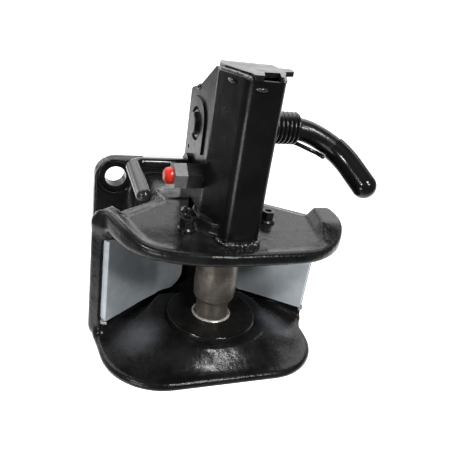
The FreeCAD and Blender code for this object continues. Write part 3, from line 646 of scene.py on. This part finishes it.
house = NODES["mechanism_housing"]
skin_me = house.data.copy()
for v in skin_me.vertices:
    q = (house.matrix_world @ v.co - ORG) / MM
    for side, r in ((-1, 10.0), (1, 6.0)):
        c5, bis, half = bend_centre(side, 5.0)
        w = np.array([q.x, q.y]) - c5
        if abs(np.hypot(*w) - 5.0) < 0.05 and float(w @ -bis) / 5.0 > math.sin(half) - 0.02:
            e = bend_centre(side, r)[0] + r / 5.0 * w
            v.co = house.matrix_world.inverted() @ (Vector((e[0], e[1], q.z)) * MM + ORG)
            break
skin_me.update()
skin = bpy.data.objects.new("folded_column", skin_me)
skin.matrix_world = house.matrix_world
scene.collection.objects.link(skin)
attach(skin, "root")
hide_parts("mechanism_housing")

# ------------------------------------------------------------------ torsion spring
# close-wound coil round the shaft; one leg bears on the anchor pin, the other hooks the bar
SY, SZ = -75.0, 121.5
th = np.linspace(0, 9 * 2 * math.pi, 9 * 40 + 1)
hel = np.stack([30.4 + 3.95 * th / (2 * math.pi), SY - 12.5 * np.sin(th), SZ - 12.5 * np.cos(th)], 1)
lead = np.array([(30.4, SY + v, SZ - 12.5) for v in np.linspace(22, 1.5, 14)])
tail = smooth_path([hel[-1] + (0.6, -2.0, 0.0), (69.0, -80.0, 108.7), (76.5, -84.6, 106.4), (83.2, -88.3, 104.4), (85.6, -92.6, 103.6), (86.2, -96.4, 103.4)], 30)
SV, SF = tube(np.vstack([lead, hel, tail]), 1.9, 12)
coil = add_mesh("wound_spring", SV * MM, SF, "spring", None)
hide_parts("torsion_spring")
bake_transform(coil)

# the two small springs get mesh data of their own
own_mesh(NODES["pawl_spring"])
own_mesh(NODES["indicator_spring"])

# ------------------------------------------------------------------ weld beads
weld("lid_weld_front", [(-23.6, -110.5, 174.2), (-22.8, -118.5, 174.5), (-19.0, -127.5, 174.7), (-15.8, -135.5, 174.7), (-13.1, -142.5, 174.5), (-12.2, -147.0, 174.2)], 1.8, 3, flat=(0.85, 1.2), up=(0, 0, 1))
weld("lid_weld_right", [(12.7, -146.6, 174.2), (16.2, -138.0, 174.4), (20.0, -127.5, 174.4)], 1.6, 5, flat=(0.8, 1.1), up=(0, 0, 1))
weld("column_weld_front", [(-13.5, -149.2, 46.8), (-6.0, -150.6, 46.6), (2.0, -150.8, 46.6), (9.0, -150.4, 46.6), (14.0, -148.8, 46.8)], 3.0, 7, ripple=0.42)
weld("seam_spot_left", [(-20.9, -125.0, 169.6), (-19.9, -128.8, 169.2), (-18.8, -132.6, 168.8)], 1.3, 23, ripple=0.3)
weld("seam_spot_front", [(-8.4, -148.9, 168.4), (-4.6, -149.2, 168.2), (-0.6, -149.1, 168.2)], 1.3, 25, ripple=0.3)
weld("column_weld_left", [(-15.0, -147.2, 47.2), (-16.8, -142.0, 47.6), (-17.4, -139.6, 48.2)], 2.0, 9)
weld("column_weld_right", [(15.0, -147.2, 47.2), (16.8, -142.0, 47.6), (17.4, -139.6, 48.2)], 2.0, 11)

# ------------------------------------------------------------------ worn bore edge
# the bevel of the lower bush is rubbed bright by the pin
turned("bore_edge", [(17.9, -45.47), (17.5, -45.0), (16.8, -44.6), (16.0, -44.5), (15.4, -44.8), (15.04, -45.5), (15.04, -50.0)], lambda u, v, o: (u, -107.0 + v, o), "rubbed", 96)

turned("disc_edge", [(40.56, -48.5), (40.56, -46.9), (40.4, -46.2), (40.0, -45.7), (39.4, -45.45), (38.6, -45.44)], lambda u, v, o: (u, -107.0 + v, o), "lever", 120)
weld("cover_tack_left", [(-23.0, -71.5, 151.2), (-23.4, -67.5, 149.6), (-23.4, -63.5, 148.2)], 2.5, 13)
weld("cover_tack_right", [(23.0, -71.5, 151.2), (23.4, -67.5, 149.6), (23.4, -63.5, 148.2)], 2.5, 15)
weld("plate_tack_left", [(-98.4, -99.4, -52.4), (-96.8, -101.6, -53.4), (-94.4, -103.0, -53.8)], 1.9, 17, mat="tack")
weld("plate_tack_right", [(98.4, -99.4, -52.4), (96.8, -101.6, -53.4), (94.4, -103.0, -53.8)], 1.9, 19, mat="tack")

# ------------------------------------------------------------------ stage
floor_me = bpy.data.meshes.new("floor")
floor_me.from_pydata([(-9, -6, -0.30), (9, -6, -0.30), (9, 14, -0.30), (-9, 14, -0.30)], [], [(0, 1, 2, 3)])
floor = bpy.data.objects.new("floor", floor_me)
floor.location = ORG
scene.collection.objects.link(floor)
fm = Mat("pale_floor")
fm.set(Roughness=0.9)
sep = fm.t.nodes.new("ShaderNodeSeparateXYZ")
fm.link(fm.co, sep.inputs[0])
mr = fm.t.nodes.new("ShaderNodeMapRange")
mr.inputs["From Min"].default_value = -0.50
mr.inputs["From Max"].default_value = -0.14
mr.inputs["To Min"].default_value = 0.0
mr.inputs["To Max"].default_value = 0.85
fm.link(sep.outputs["Y"], mr.inputs["Value"])
ml = fm.t.nodes.new("ShaderNodeMapRange")
for key, val in (("From Min", -0.66), ("From Max", -0.46), ("To Min", 0.05), ("To Max", 1.0)):
    ml.inputs[key].default_value = val
fm.link(sep.outputs["X"], ml.inputs["Value"])
# the floor glows as painted light: emission and colour rise from dark at the front and left to white at the back
lit = fm.math("MULTIPLY", mr.outputs[0], ml.outputs[0])
fm.colour(fm.ramp(lit, (0.0, 0.14), (0.85, 0.86)))
fm.set(Emission_Color=(1.0, 1.0, 1.0))
fm.link(lit, fm.b.inputs["Emission Strength"])
floor_me.materials.append(fm.m)

world = bpy.data.worlds.new("studio")
scene.world = world
world.use_nodes = True
wt = world.node_tree
bg = wt.nodes["Background"]
tc = wt.nodes.new("ShaderNodeTexCoord")
sx = wt.nodes.new("ShaderNodeSeparateXYZ")
wt.links.new(tc.outputs["Generated"], sx.inputs[0])


def wmap(sock, a, b, c, d):
    n = wt.nodes.new("ShaderNodeMapRange")
    n.interpolation_type = "SMOOTHSTEP"
    for k, v in (("From Min", a), ("From Max", b), ("To Min", c), ("To Max", d)):
        n.inputs[k].default_value = v
    wt.links.new(sock, n.inputs["Value"])
    return n.outputs[0]


def wmul(a, b, op="MULTIPLY"):
    n = wt.nodes.new("ShaderNodeMath")
    n.operation = op
    wt.links.new(a, n.inputs[0])
    if isinstance(b, float):
        n.inputs[1].default_value = b
    else:
        wt.links.new(b, n.inputs[1])
    return n.outputs[0]


back = wmap(sx.outputs["Y"], -0.1, 0.85, 0.0, 1.55)
low = wmap(sx.outputs["Z"], 0.12, 0.5, 1.0, 0.12)
wt.links.new(wmul(wmul(back, low), 0.11, "ADD"), bg.inputs["Strength"])
bg.inputs["Color"].default_value = (1, 1, 1, 1)


def area(name, loc, target, size, power):
    l = bpy.data.lights.new(name, "AREA")
    l.shape = "SQUARE"
    l.size = size
    l.energy = power
    o = bpy.data.objects.new(name, l)
    scene.collection.objects.link(o)
    o.location = Vector(loc) + ORG
    o.rotation_euler = (Vector(target) - Vector(loc)).to_track_quat("-Z", "Y").to_euler()
    return o


area("key_left", (-0.89, -0.71, 0.61), (0, -0.1, 0.05), 0.16, 5)
area("key_right", (0.35, -1.03, 0.75), (0, -0.1, 0.05), 0.16, 5)
spark = area("key_top", (0.18, -0.64, 0.78), (0.0, -0.16, -0.05), 0.12, 3.4)
bend = area("strip_bend", (-0.72, -0.75, -0.21), (0.0, -0.14, 0.11), 0.30, 2.4)
bend.data.shape = "RECTANGLE"
bend.data.size_y = 0.3
strip = area("strip_left", (-0.85, 1.05, -0.02), (-0.02, -0.1, 0.05), 0.14, 1.6)
strip.data.shape = "RECTANGLE"
strip.data.size_y = 0.5
top = area("back_top", (0.2, 1.5, 1.7), (0.2, 0.9, -0.3), 4.4, 66)
top.data.shape = "RECTANGLE"
top.data.size_y = 2.2

cam_data = bpy.data.cameras.new("camera")
cam_data.lens = 42.587
cam_data.sensor_width = 36.0
cam = bpy.data.objects.new("camera", cam_data)
scene.collection.objects.link(cam)
right = (0.938773, -0.313384, 0.143167)
up = (0.01611, 0.455005, 0.890343)
bk = (-0.344161, -0.833524, 0.432194)
cam.matrix_world = Matrix(((right[0], up[0], bk[0], ORG[0] - 0.155284), (right[1], up[1], bk[1], ORG[1] - 0.495074), (right[2], up[2], bk[2], ORG[2] + 0.240669), (0, 0, 0, 1)))
scene.camera = cam
scene.view_settings.view_transform = "Standard"
